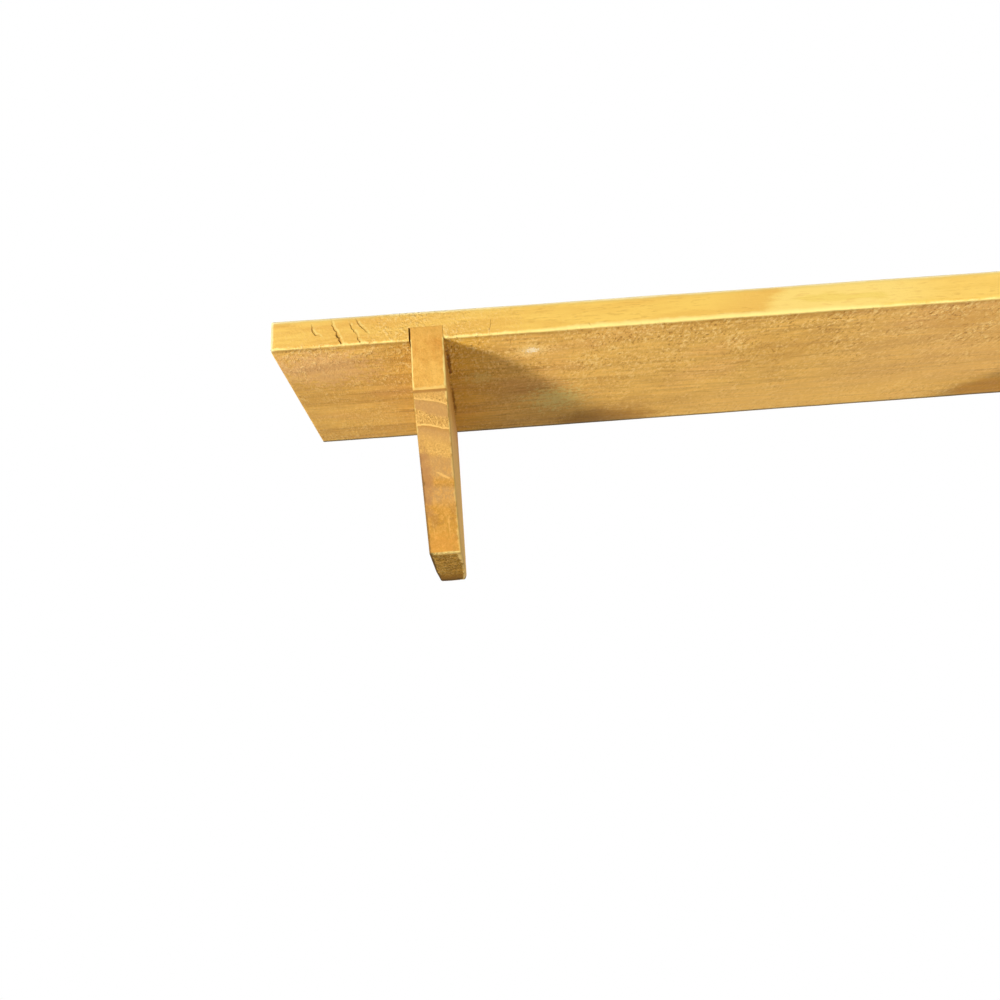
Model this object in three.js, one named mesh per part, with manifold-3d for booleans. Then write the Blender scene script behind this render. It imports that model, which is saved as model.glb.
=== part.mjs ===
// A small wooden trinket shelf: one board on two brackets that are let into its underside.
// Millimetres, +Z up, +Y towards the wall, +X to the viewer's right.
// The origin is the middle of the board's rear edge, on the wall plane y = 0.
import * as THREE from "three";
import { mergeVertices } from "three/addons/utils/BufferGeometryUtils.js";
import Module from "manifold-3d";

const wasm = await Module();
wasm.setup();

// The shelf board.
const boardLength = 343;
const boardDepth = 68;
const boardThickness = 9.5;
const boardCornerRadius = 1.0;
const boardEndEase = 0.8;

// The two brackets: a plumb nose under the board, then a straight saw cut back to a flat foot.
const bracketThickness = 9.5;
const bracketFromEnd = 40.5;
const bracketDrop = 56;
const noseHeight = 16;
const footDepth = 38;
const bracketCornerRadius = 0.7;
const heelRadius = 1.3;
const bracketFaceEase = 0.5;

// The housing joint: a slot across the board's underside that takes the bracket's head.
const housingDepth = 4.2;
const housingGap = 0.45;

// Two finishing brads hold each bracket, driven down through the board.
const brad = { length: 25, shankRadius: 0.65, headRadius: 1.15, headHeight: 1.0, pointLength: 1.8 };
const bradSunk = 0.3;
const bradFromFront = 15;
const bradFromWall = 15;

// A toothed steel hanger sits in a pocket in the board's rear edge, beside each bracket.
// Its raised bridge carries the teeth, and a tab at each end is tacked to the pocket's floor.
const hangerFromBracket = 24;
const hangerHeight = 6;
const hangerSheet = 0.8;
const hangerEndRadius = 1.6;
const tabLength = 9;
const bridgeLength = 18;
const bridgeRise = 1.4;
const toothPitch = 2;
const toothDepth = 1;
const steelAboveTeeth = 2.2;

// The pocket keeps the bridge below the wall face, and is deeper behind it for the wall nail's head.
const pocketClearance = 0.35;
const hangerSetBack = 1;
const nailHeadRoom = 3.6;

// Two tacks hold each hanger.
const tack = { length: 9, shankRadius: 0.6, headRadius: 1.6, headHeight: 0.5, pointLength: 1.2 };

// A driven nail's hole is this much wider than the nail all round.
const drivenClearance = 0.3;

const overcut = 1;
const roundSides = 16;
const arcSteps = 5;
const easeSteps = 3;

// Places worked out from the sizes above.
const boardTop = boardThickness / 2;
const underside = -boardThickness / 2;
const boardFront = -boardDepth;
const housingFloor = underside + housingDepth;
const noseFoot = underside - noseHeight;
const footLevel = underside - bracketDrop;
const hangerLength = bridgeLength + 2 * tabLength;
const bridgeBack = -hangerSetBack - hangerSheet;
const tabBack = bridgeBack - bridgeRise;
const tabFace = tabBack + hangerSheet;
const reliefBack = bridgeBack - nailHeadRoom;

const sides = [
  { name: "left", outward: -1 },
  { name: "right", outward: 1 },
].map((side) => {
  const bracketFromMiddle = boardLength / 2 - bracketFromEnd - bracketThickness / 2;
  const hangerFromMiddle = bracketFromMiddle - bracketThickness / 2 - hangerFromBracket - hangerLength / 2;
  return {
    ...side,
    bracketMiddle: side.outward * bracketFromMiddle,
    hangerMiddle: side.outward * hangerFromMiddle,
  };
});

const shelfWood = new THREE.MeshStandardMaterial({ color: 0xd9a253, roughness: 0.55, metalness: 0 });
const bracketWood = new THREE.MeshStandardMaterial({ color: 0xd69a4b, roughness: 0.6, metalness: 0 });
const nailSteel = new THREE.MeshStandardMaterial({ color: 0x8d8a84, roughness: 0.4, metalness: 1 });
const hangerSteel = new THREE.MeshStandardMaterial({ color: 0xb9b4a6, roughness: 0.35, metalness: 1 });

// A closed solid from a geometry: its corners are merged, and the slivers at a turned piece's poles go.
function solid(geometry) {
  const loose = geometry.index ? geometry.toNonIndexed() : geometry.clone();
  const onlyPlaces = new THREE.BufferGeometry().setAttribute("position", loose.getAttribute("position"));
  const merged = mergeVertices(onlyPlaces, 1e-4);
  const corners = Array.from(merged.index.array);
  const kept = [];
  for (let i = 0; i < corners.length; i += 3) {
    const [a, b, c] = corners.slice(i, i + 3);
    if (a !== b && b !== c && c !== a) kept.push(a, b, c);
  }
  return new wasm.Manifold(
    new wasm.Mesh({
      numProp: 3,
      vertProperties: merged.attributes.position.array,
      triVerts: new Uint32Array(kept),
    }),
  );
}

function meshOf(name, body, material) {
  const { vertProperties, triVerts } = body.getMesh();
  const geometry = new THREE.BufferGeometry()
    .setAttribute("position", new THREE.BufferAttribute(new Float32Array(vertProperties), 3))
    .setIndex(new THREE.BufferAttribute(new Uint32Array(triVerts), 1));
  geometry.computeVertexNormals();
  const mesh = new THREE.Mesh(geometry, material);
  mesh.name = name;
  return mesh;
}

// A closed outline through corners [across, up, radius], listed anticlockwise, each rounded by an arc.
function roundedOutline(corners) {
  const shape = new THREE.Shape();
  corners.forEach(([x, y, radius], i) => {
    const here = new THREE.Vector2(x, y);
    const before = new THREE.Vector2(...corners.at(i - 1)).sub(here).normalize();
    const after = new THREE.Vector2(...corners[(i + 1) % corners.length]).sub(here).normalize();
    const halfAngle = Math.acos(before.dot(after)) / 2;
    const setBack = radius / Math.tan(halfAngle);
    const start = here.clone().addScaledVector(before, setBack);
    const end = here.clone().addScaledVector(after, setBack);
    const inward = before.clone().add(after).normalize();
    const centre = here.clone().addScaledVector(inward, radius / Math.sin(halfAngle));
    if (i === 0) shape.moveTo(start.x, start.y);
    else shape.lineTo(start.x, start.y);
    const startAngle = start.sub(centre).angle();
    const endAngle = end.sub(centre).angle();
    shape.absarc(centre.x, centre.y, radius, startAngle, endAngle, false);
  });
  shape.closePath();
  return shape;
}

const roundedRectangle = (length, height, radius) =>
  roundedOutline([
    [-length / 2, -height / 2, radius],
    [length / 2, -height / 2, radius],
    [length / 2, height / 2, radius],
    [-length / 2, height / 2, radius],
  ]);

// A plank: an outline in the side view (y across, z up), run along x about its middle, with eased ends.
function plank(outline, middle, length, ease) {
  const geometry = new THREE.ExtrudeGeometry(outline, {
    depth: length - 2 * ease,
    steps: 1,
    curveSegments: arcSteps,
    bevelEnabled: true,
    bevelThickness: ease,
    bevelSize: ease,
    bevelOffset: -ease,
    bevelSegments: easeSteps,
  });
  const sideView = new THREE.Matrix4().makeBasis(
    new THREE.Vector3(0, 1, 0),
    new THREE.Vector3(0, 0, 1),
    new THREE.Vector3(1, 0, 0),
  );
  geometry.translate(0, 0, ease - length / 2).applyMatrix4(sideView).translate(middle, 0, 0);
  return solid(geometry);
}

// A solid with its outline in the rear view (x across, z up), from y = nearWall down to y = deep.
function rearViewSolid(outline, middle, nearWall, deep) {
  const geometry = new THREE.ExtrudeGeometry(outline, {
    depth: nearWall - deep,
    bevelEnabled: false,
    curveSegments: arcSteps,
  });
  return solid(geometry.rotateX(Math.PI / 2).translate(middle, nearWall, 0));
}

// A nail turned about the y axis: its head's face is at y = 0 and its point is down the axis.
function nail({ length, shankRadius, headRadius, headHeight, pointLength }) {
  const profile = [
    [0, -length],
    [shankRadius, pointLength - length],
    [shankRadius, -headHeight],
    [headRadius, -headHeight],
    [headRadius, 0],
    [0, 0],
  ].map(([radius, height]) => new THREE.Vector2(radius, height));
  return new THREE.LatheGeometry(profile, roundSides);
}

// The hole for that nail, wider by the clearance all round and open above the head.
function nailHole({ length, shankRadius, headRadius, headHeight }) {
  const profile = [
    [0, -length - drivenClearance],
    [shankRadius + drivenClearance, -length - drivenClearance],
    [shankRadius + drivenClearance, -headHeight - drivenClearance],
    [headRadius + drivenClearance, -headHeight - drivenClearance],
    [headRadius + drivenClearance, overcut],
    [0, overcut],
  ].map(([radius, height]) => new THREE.Vector2(radius, height));
  return new THREE.LatheGeometry(profile, roundSides);
}

// A brad stands upright with its head on top, and a tack lies along y with its head to the wall.
const upright = (geometry, [x, y, z]) => solid(geometry.rotateX(Math.PI / 2).translate(x, y, z));
const facingWall = (geometry, [x, y, z]) => solid(geometry.translate(x, y, z));

function bradPlaces({ bracketMiddle }) {
  const headLevel = boardTop - bradSunk;
  return [
    { name: "front", at: [bracketMiddle, boardFront + bradFromFront, headLevel] },
    { name: "rear", at: [bracketMiddle, -bradFromWall, headLevel] },
  ];
}

function tackPlaces({ hangerMiddle }) {
  const fromMiddle = (bridgeLength + tabLength) / 2;
  const headFace = tabFace + tack.headHeight;
  return [
    { name: "left", at: [hangerMiddle - fromMiddle, headFace, 0] },
    { name: "right", at: [hangerMiddle + fromMiddle, headFace, 0] },
  ];
}

// The slot in the underside: its inner wall bears on the bracket and a thin gap shows on the outer side.
function housing({ bracketMiddle, outward }) {
  const height = housingDepth + overcut;
  const slot = new THREE.BoxGeometry(bracketThickness + housingGap, boardDepth + 2 * overcut, height);
  return solid(
    slot.translate(bracketMiddle + (outward * housingGap) / 2, boardFront / 2, housingFloor - height / 2),
  );
}

// The pocket for a hanger, with the deeper relief behind its bridge.
function hangerPocket({ hangerMiddle }) {
  const height = hangerHeight + 2 * pocketClearance;
  const radius = hangerEndRadius + pocketClearance;
  const pocket = roundedRectangle(hangerLength + 2 * pocketClearance, height, radius);
  const relief = roundedRectangle(bridgeLength, height, radius);
  return rearViewSolid(pocket, hangerMiddle, overcut, tabBack).add(
    rearViewSolid(relief, hangerMiddle, overcut, reliefBack),
  );
}

function shelfBoard() {
  const section = roundedOutline([
    [boardFront, underside, boardCornerRadius],
    [0, underside, boardCornerRadius],
    [0, boardTop, boardCornerRadius],
    [boardFront, boardTop, boardCornerRadius],
  ]);
  let board = plank(section, 0, boardLength, boardEndEase);
  for (const side of sides) {
    board = board.subtract(housing(side)).subtract(hangerPocket(side));
    for (const { at } of bradPlaces(side)) board = board.subtract(upright(nailHole(brad), at));
    for (const { at } of tackPlaces(side)) board = board.subtract(facingWall(nailHole(tack), at));
  }
  return meshOf("shelf_board", board, shelfWood);
}

function bracket(side) {
  const profile = roundedOutline([
    [boardFront, noseFoot, bracketCornerRadius],
    [-footDepth, footLevel, bracketCornerRadius],
    [0, footLevel, heelRadius],
    [0, housingFloor, bracketCornerRadius],
    [boardFront, housingFloor, bracketCornerRadius],
  ]);
  let body = plank(profile, side.bracketMiddle, bracketThickness, bracketFaceEase);
  for (const { at } of bradPlaces(side)) body = body.subtract(upright(nailHole(brad), at));
  return meshOf(`${side.name}_bracket`, body, bracketWood);
}

// The hanger's strip seen from above: tab, step out, bridge, step back, tab.
function hangerStrip(middle) {
  const half = hangerLength / 2;
  const stepFoot = bridgeLength / 2;
  const stepHead = stepFoot - bridgeRise;
  const backLine = [
    [-half, tabBack],
    [-stepFoot, tabBack],
    [-stepHead, bridgeBack],
    [stepHead, bridgeBack],
    [stepFoot, tabBack],
    [half, tabBack],
  ];
  const faceLine = backLine.map(([x, y]) => [x, y + hangerSheet]).reverse();
  const plan = new THREE.Shape([...backLine, ...faceLine].map(([x, y]) => new THREE.Vector2(x, y)));
  const strip = new THREE.ExtrudeGeometry(plan, { depth: hangerHeight, bevelEnabled: false });
  return solid(strip.translate(middle, 0, -hangerHeight / 2));
}

// The saw-toothed notch along the bridge's lower edge, as many whole teeth as its flat holds.
function toothedNotch() {
  const teeth = Math.floor((bridgeLength - 2 * bridgeRise) / toothPitch);
  const reach = (teeth * toothPitch) / 2;
  const root = hangerHeight / 2 - steelAboveTeeth;
  const tip = root - toothDepth;
  const below = -hangerHeight / 2 - overcut;
  const zigzag = Array.from({ length: teeth }, (_, i) => reach - i * toothPitch).flatMap((x) => [
    [x - toothPitch / 2, root],
    [x - toothPitch, tip],
  ]);
  const outline = [[-reach, below], [reach, below], [reach, tip], ...zigzag];
  return new THREE.Shape(outline.map(([x, z]) => new THREE.Vector2(x, z)));
}

function hanger(side) {
  const middle = side.hangerMiddle;
  const face = roundedRectangle(hangerLength, hangerHeight, hangerEndRadius);
  const through = (outline) => rearViewSolid(outline, middle, overcut, tabBack - overcut);
  let body = hangerStrip(middle).intersect(through(face)).subtract(through(toothedNotch()));
  for (const { at } of tackPlaces(side)) {
    const holeRadius = tack.shankRadius + drivenClearance;
    const punched = new THREE.CylinderGeometry(holeRadius, holeRadius, tack.length, roundSides);
    body = body.subtract(facingWall(punched, at));
  }
  return meshOf(`${side.name}_hanger`, body, hangerSteel);
}

const shelf = new THREE.Group();
shelf.add(shelfBoard());
for (const side of sides) {
  shelf.add(bracket(side));
  for (const { name, at } of bradPlaces(side)) {
    shelf.add(meshOf(`${side.name}_bracket_${name}_brad`, upright(nail(brad), at), nailSteel));
  }
  shelf.add(hanger(side));
  for (const { name, at } of tackPlaces(side)) {
    shelf.add(meshOf(`${side.name}_hanger_${name}_tack`, facingWall(nail(tack), at), nailSteel));
  }
}

export default shelf;
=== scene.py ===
# %% [markdown]
# # A small wooden trinket shelf
# The real shelf is one varnished board on two sawn brackets. Each bracket's head is let into a slot
# across the board's underside, and two brads hold it. Toothed steel hangers sit in pockets in the rear
# edge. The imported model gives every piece's place. This script dresses it: the three wooden pieces are
# modelled again with worn arrises, cracks and saw marks, and everything gets its finish.

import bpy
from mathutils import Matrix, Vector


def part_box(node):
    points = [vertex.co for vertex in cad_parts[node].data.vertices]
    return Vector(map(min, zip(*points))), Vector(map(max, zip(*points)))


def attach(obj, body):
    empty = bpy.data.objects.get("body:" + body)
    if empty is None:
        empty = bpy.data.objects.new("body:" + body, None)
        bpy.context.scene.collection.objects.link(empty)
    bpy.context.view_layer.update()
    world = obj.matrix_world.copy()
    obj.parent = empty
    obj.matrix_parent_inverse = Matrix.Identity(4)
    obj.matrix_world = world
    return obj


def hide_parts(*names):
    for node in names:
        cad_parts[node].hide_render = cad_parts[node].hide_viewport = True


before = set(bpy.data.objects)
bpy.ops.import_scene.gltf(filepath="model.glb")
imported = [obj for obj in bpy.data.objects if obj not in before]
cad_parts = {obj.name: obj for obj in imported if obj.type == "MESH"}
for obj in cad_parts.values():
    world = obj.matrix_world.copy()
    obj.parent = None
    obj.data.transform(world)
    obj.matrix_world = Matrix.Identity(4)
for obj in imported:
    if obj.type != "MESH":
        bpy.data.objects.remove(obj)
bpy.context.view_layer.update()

# %% Tools for numbers and meshes
from math import cos, radians, sin

import bmesh
import bpy
import numpy as np
from mathutils import Quaternion, Vector

millimetre = 0.001
scene = bpy.context.scene
sides = {"left": -1, "right": 1}


def node_box(name):
    """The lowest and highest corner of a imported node, in millimetres."""
    return [np.array(corner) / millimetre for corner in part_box(name)]


board_low, board_high = node_box("shelf_board")
x_left, y_front, z_under = board_low
x_right, y_rear, z_top = board_high
print("board, mm:", (board_high - board_low).round(2))

# %% [markdown]
# ## Where the camera stands
# The picture is taken from below and a little in front, so the underside shows as well as the front
# edge. A camera needs a place, a direction and a roll. The direction is given as a turn to the right
# and a tilt upwards, which is how one would describe it beside a tripod.

# %% The camera
past_left_end, off_the_wall, below_board_middle = 58.89, 257.43, 118.45
turned_right = radians(1.08)
tilted_up = radians(18.50)
rolled = radians(-4.65)
focal_length, sensor_width, nearest_seen = 27.0, 36.0, 0.01

looking = Vector((sin(turned_right) * cos(tilted_up), cos(turned_right) * cos(tilted_up), sin(tilted_up)))
camera = bpy.data.objects.new("camera", bpy.data.cameras.new("camera"))
camera.data.lens = focal_length
camera.data.sensor_width = sensor_width
camera.data.clip_start = nearest_seen
camera.location = Vector((x_left + past_left_end, -off_the_wall, -below_board_middle)) * millimetre
camera.rotation_mode = "QUATERNION"
camera.rotation_quaternion = looking.to_track_quat("-Z", "Y") @ Quaternion((0, 0, 1), rolled)
scene.collection.objects.link(camera)
scene.camera = camera
print("camera looks along", [round(v, 3) for v in looking])

# %% [markdown]
# ## Helpers for nodes
# The surround, the floor and every finish is a network of nodes. These helpers add one node and wire it
# in one line. A wire is one output of a node. Arithmetic on wires adds the Math nodes, so a mask reads
# like the product or sum that it is.

# %% Node helpers
class Wire:
    """One output of a node. Arithmetic with wires and numbers adds Math nodes and gives their wires."""

    def __init__(self, socket):
        self.socket, self.tree = socket, socket.id_data

    def __add__(self, other):
        return calculated("ADD", self, other)

    def __sub__(self, other):
        return calculated("SUBTRACT", self, other)

    def __rsub__(self, other):
        return calculated("SUBTRACT", other, self)

    def __mul__(self, other):
        return calculated("MULTIPLY", self, other)

    def __truediv__(self, other):
        return calculated("DIVIDE", self, other)

    def __abs__(self):
        return calculated("ABSOLUTE", self)


def join(value, entry):
    """Links a wire to a node's input, or writes a value into it."""
    if isinstance(value, Wire):
        value.tree.links.new(value.socket, entry)
    else:
        entry.default_value = value


def add(tree, kind, wires=None, **settings):
    """Adds a node, sets its settings and joins its inputs."""
    made = tree.nodes.new(kind)
    for name, value in settings.items():
        setattr(made, name, value)
    for name, value in (wires or {}).items():
        join(value, made.inputs[name])
    return made


def wire(tree, kind, wires=None, output=0, **settings):
    """One output of a new node."""
    return Wire(add(tree, kind, wires, **settings).outputs[output])


def wires_of(node):
    """Every output of a node, by name."""
    return {socket.name: Wire(socket) for socket in node.outputs}


def calculated(operation, a, b=0.0, clamp=False):
    """The result of one Math node."""
    tree = (a if isinstance(a, Wire) else b).tree
    return wire(tree, "ShaderNodeMath", {0: a, 1: b}, operation=operation, use_clamp=clamp)


def vectors(operation, a, b=(0, 0, 0), output="Vector"):
    """The result of one Vector Math node."""
    return wire(a.tree, "ShaderNodeVectorMath", {0: a, 1: b}, output, operation=operation)


def span(value, low, high, out_low=0.0, out_high=1.0):
    """A wire carried smoothly from low..high to out_low..out_high, and held beyond."""
    wires = {"Value": value, "From Min": low, "From Max": high, "To Min": out_low, "To Max": out_high}
    return wire(value.tree, "ShaderNodeMapRange", wires, interpolation_type="SMOOTHSTEP")


def new_material(name):
    """A material and its empty tree."""
    material = bpy.data.materials.new(name)
    material.use_nodes = True
    material.node_tree.nodes.clear()
    print("material:", name)
    return material, material.node_tree

# %% [markdown]
# ## A white surround
# The surround is white where the camera, a shine or a clear thing sees it. Where it only lights the
# shelf it is a dim white, so the wood keeps its own colour and the lamps draw the shadows.

# %% The surround
surround_light = 0.19
white = (1, 1, 1, 1)

world = bpy.data.worlds.new("surround")
world.use_nodes = True
scene.world = world
sky = world.node_tree
sky.nodes.clear()
rays = wires_of(add(sky, "ShaderNodeLightPath"))
seen = calculated("MAXIMUM", rays["Is Camera Ray"], rays["Is Glossy Ray"])
seen = calculated("MAXIMUM", seen, rays["Is Transmission Ray"])
glow = wire(sky, "ShaderNodeBackground", {"Strength": surround_light, "Color": white})
bright = wire(sky, "ShaderNodeBackground", {"Strength": 1.0, "Color": white})
either = wire(sky, "ShaderNodeMixShader", {0: seen, 1: glow, 2: bright})
add(sky, "ShaderNodeOutputWorld", {"Surface": either})
scene.view_settings.view_transform = "Standard"
print("surround strength where it lights the shelf:", surround_light)

# %% [markdown]
# ## Two low lamps and three broad ones
# A soft lamp stands low on each side, in front of its own bracket. Each throws its bracket's shadow up
# and across the underside, away from itself. Broad lamps in front, above and behind fill the faces that
# the low ones miss.

# %% The lamps
def soft_lamp(name, aim, towards, distance, width, height, brightness):
    """A rectangular lamp at a distance from its aim, along a direction. Its power makes a white sheet
    at the aim, square to it, this bright: power = brightness x pi squared x distance squared."""
    lamp = bpy.data.lights.new(name, "AREA")
    lamp.shape = "RECTANGLE"
    lamp.size, lamp.size_y = width, height
    lamp.energy = brightness * np.pi**2 * distance**2
    holder = bpy.data.objects.new(name, lamp)
    direction = Vector(towards).normalized()
    holder.location = Vector(aim) + direction * distance
    holder.rotation_mode = "QUATERNION"
    holder.rotation_quaternion = direction.to_track_quat("Z", "Y")
    scene.collection.objects.link(holder)
    print(name, "power", round(lamp.energy, 2), "W")


bracket_place, mid_depth = 45, -0.034
left_aim = ((x_left + bracket_place) * millimetre, mid_depth, 0)
right_aim = ((x_right - bracket_place) * millimetre, mid_depth, 0)
lamps = [  # name, aim, direction to the lamp, distance, width, height, brightness
    ("low_left_lamp", left_aim, (-1.28, -1.04, -1.0), 0.90, 0.14, 0.14, 1.03),
    ("low_right_lamp", right_aim, (1.28, -1.04, -1.0), 0.42, 0.034, 0.034, 0.95),
    ("front_lamp", (0, 0, 0), (0.10, -1.0, 0.10), 1.3, 0.9, 0.6, 0.20),
    ("top_lamp", (0, 0, 0), (0.1, 0.1, 1.0), 0.9, 0.8, 0.6, 0.74),
    ("back_lamp", (0, 0, 0), (0.3, 1.0, 0.25), 1.3, 0.9, 0.6, 0.40),
]
for lamp in lamps:
    soft_lamp(*lamp)

# %% [markdown]
# ## The floor
# A plain pale floor far below the shelf, which takes its shadow. Towards its rim it turns to plain
# white, so it runs into the surround without a line.

# %% The floor
floor_level = -0.6
floor_reach = 1.25
rim_start, rim_end = 0.65, 1.30
floor_white = 0.72
floor_paint = (0.47, 0.455, 0.415, 1)
round_a_square = ((-1, -1), (1, -1), (1, 1), (-1, 1))

sheet = bpy.data.meshes.new("floor")
floor_corners = [(x * floor_reach, y * floor_reach, floor_level) for x, y in round_a_square]
sheet.from_pydata(floor_corners, [], [(0, 1, 2, 3)])
floor = bpy.data.objects.new("floor", sheet)
scene.collection.objects.link(floor)

pale, tree = new_material("pale_floor")
floor_place = wire(tree, "ShaderNodeTexCoord", output="Object")
rim = span(vectors("LENGTH", floor_place, output="Value"), rim_start, rim_end)
to_camera = wire(tree, "ShaderNodeLightPath", output="Is Camera Ray")
matt = wire(tree, "ShaderNodeBsdfDiffuse", {"Color": floor_paint})
own = wire(tree, "ShaderNodeEmission", {"Color": white, "Strength": to_camera * floor_white})
plain_white = wire(tree, "ShaderNodeEmission", {"Color": white, "Strength": to_camera})
together = wire(tree, "ShaderNodeAddShader", {0: matt, 1: own})
faded = wire(tree, "ShaderNodeMixShader", {0: rim, 1: together, 2: plain_white})
add(tree, "ShaderNodeOutputMaterial", {"Surface": faded})
sheet.materials.append(pale)
print("floor at", floor_level, "m,", 2 * floor_reach, "m wide")

# %% [markdown]
# ## Surfaces from whole arrays
# A board or a bracket is an outline carried across a thickness and then drawn in to its middle on both
# end faces. That is one array of rings, station by station, so numpy works out every point at once.
# Blender's primitives would give sharp, perfect boxes. Rings let each arris be worn by its own amount.

# %% A rounded outline
arc_points = 7


def rounded_outline(corners):
    """Points and outward directions round a closed outline, anticlockwise, of corners
    (across, up, radius, spacing). Each corner is an arc tangent to both sides, and the straight after
    it is divided evenly at about the given spacing."""
    table = np.array(corners, float)
    places, radii = table[:, :2], table[:, 2:3]
    away = np.roll(places, -1, 0) - places
    away = away / np.linalg.norm(away, axis=1)[:, None]
    into = np.roll(away, 1, 0)
    turns = np.arccos(np.clip((into * away).sum(1), -1, 1))
    arc_starts = places - into * radii * np.tan(turns / 2)[:, None]
    points, outward = [], []
    for i, turn in enumerate(turns):
        start_out = np.array([into[i, 1], -into[i, 0]])
        swing = np.linspace(0, turn, arc_points)[:, None]
        directions = np.cos(swing) * start_out + np.sin(swing) * into[i]
        arc = arc_starts[i] + radii[i] * (directions - start_out)
        straight = arc_starts[(i + 1) % len(corners)] - arc[-1]
        parts = max(2, round(np.linalg.norm(straight) / table[i, 3]))
        share = np.linspace(0, 1, parts + 1)[1:-1, None]
        points += [arc, arc[-1] + share * straight]
        outward += [directions, np.repeat([[away[i, 1], -away[i, 0]]], len(share), 0)]
    return np.concatenate(points), np.concatenate(outward)

# %% An outline carried across
def carried(outline, outward, start, end, ease, body, cap_rings, ease_rings=6, eased=1.0):
    """Rings of an outline in (y, z) carried along x from start to end through the stations in body. Near
    each end the ring moves in along a quarter circle of radius ease, and on the end face it is drawn in
    to its middle: ring = middle + share x (outline - inset x outward - middle). eased scales the inset
    by point."""
    outward = outward * np.reshape(eased, (-1, 1))
    angle = np.linspace(np.pi / 2, 0, ease_rings)
    drawn = 1 - np.linspace(1, 0, cap_rings, endpoint=False) ** 1.3
    cap, near_end = np.zeros(cap_rings), ease * (1 - np.sin(angle))
    x = np.concatenate([start + cap, start + near_end, body, end - near_end[::-1], end - cap])
    end_inset = np.concatenate([cap + ease, ease * (1 - np.cos(angle))])
    end_share = np.concatenate([drawn, np.ones(ease_rings)])
    inset = np.concatenate([end_inset, body * 0, end_inset[::-1]])
    share = np.concatenate([end_share, body * 0 + 1, end_share[::-1]])
    middle = (outline.max(0) + outline.min(0)) / 2
    flat = outline[None] - inset[:, None, None] * outward[None] - middle
    flat = middle + share[:, None, None] * flat
    return np.concatenate([np.broadcast_to(x[:, None, None], flat[..., :1].shape), flat], -1)

# %% Rings made a mesh
def ring_mesh(name, rings):
    """A closed mesh of rings[station, point, xyz] in millimetres: quads between neighbouring rings and
    a fan to the middle of the first and the last. Its faces are turned outwards by the sign of its
    volume, the sum over faces of a . (b x c) / 6."""
    stations, count, _ = rings.shape
    places = np.concatenate([rings.reshape(-1, 3), rings[[0, -1]].mean(1)]) * millimetre
    number = np.arange(stations * count).reshape(stations, count)
    here, there = number[:-1], number[1:]
    quads = np.stack([here, np.roll(here, -1, 1), np.roll(there, -1, 1), there], -1).reshape(-1, 4)
    first, last, pole = number[0], number[-1], np.full(count, stations * count)
    fans = np.concatenate([
        np.stack([np.roll(first, -1), first, pole], -1),
        np.stack([last, np.roll(last, -1), pole + 1], -1),
    ])
    a, b, c = (places[np.concatenate([quads[:, :3], quads[:, [0, 2, 3]], fans])[:, i]] for i in range(3))
    if np.einsum("ij,ij->", a, np.cross(b, c)) / 6 < 0:
        quads, fans = quads[:, ::-1], fans[:, ::-1]
    mesh = bpy.data.meshes.new(name)
    mesh.from_pydata(places.tolist(), [], quads.tolist() + fans.tolist(), shade_flat=False)
    mesh.validate()
    thing = bpy.data.objects.new(name, mesh)
    scene.collection.objects.link(thing)
    return thing

# %% Random hills
lattice_heights = 8192
lattice_mixers = np.array([73856093, 19349663, 83492791])


def drift(places, cell, seed):
    """Smooth random hills from -1 to 1. A random height stands at each corner of a lattice with this
    cell size, and 3t^2 - 2t^3 blends the eight corners round a place. Cell may differ by axis."""
    heights = np.random.default_rng(seed).uniform(-1, 1, lattice_heights)
    scaled = places / np.array(cell, float)
    whole = np.floor(scaled).astype(np.int64)
    blend = (scaled - whole) ** 2 * (3 - 2 * (scaled - whole))
    total = 0
    for corner in np.ndindex(2, 2, 2):
        index = np.bitwise_xor.reduce((whole + corner) * lattice_mixers, -1) % lattice_heights
        weight = np.where(np.array(corner, bool), blend, 1 - blend).prod(-1)
        total = total + weight * heights[index]
    return total


def drift_along(x, cell, seed):
    """Hills that only change along x."""
    return drift(np.stack([x, x * 0, x * 0], -1), cell, seed)

# %% Worn arrises
def flat_faces(low, high):
    """The faces of a box, each as (axis, level, inward sign): left, front, under, right, rear, top."""
    return [(k, low[k], 1) for k in range(3)] + [(k, high[k], -1) for k in range(3)]


def wear_arris(points, face_a, face_b, radius):
    """Rounds the arris between two flat faces of points[axis, ...], in place. A point that stands
    outside the quarter circle of this radius, tangent to both faces, is pulled straight in onto it."""
    (i, level_i, inward_i), (j, level_j, inward_j) = face_a, face_b
    a, b = (points[i] - level_i) * inward_i, (points[j] - level_j) * inward_j
    from_centre = np.hypot(radius - a, radius - b)
    outside = (a < radius) & (b < radius) & (from_centre > radius)
    pull = np.where(outside, radius / np.maximum(from_centre, 1e-9), 1)
    points[i] = level_i + inward_i * np.where(outside, radius - (radius - a) * pull, a)
    points[j] = level_j + inward_j * np.where(outside, radius - (radius - b) * pull, b)


def near(depth, reach):
    """1 on a face and falling away below it: exp(-depth / reach)."""
    return np.exp(-np.abs(depth) / reach)

# %% [markdown]
# ## The shelf board
# The board is planed, then sanded by hand, so its faces are nearly flat and its arrises are not even.
# The section is carried along the length and each arris is rounded over by a radius that wanders along
# it. The lower front arris and the left front corner are the most worn.

# %% The board's body
board_arris = 0.55
end_corner = 1.7
end_top = 1.2
station_runs = [  # start, end and step, in millimetres from the left end
    (1, 10, 0.5), (10, 30, 0.25), (30, 62, 0.5), (62, 66, 0.25), (66, 91, 0.5), (91, 95, 0.25),
    (95, x_right - x_left - 0.9, 1),
]


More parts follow.
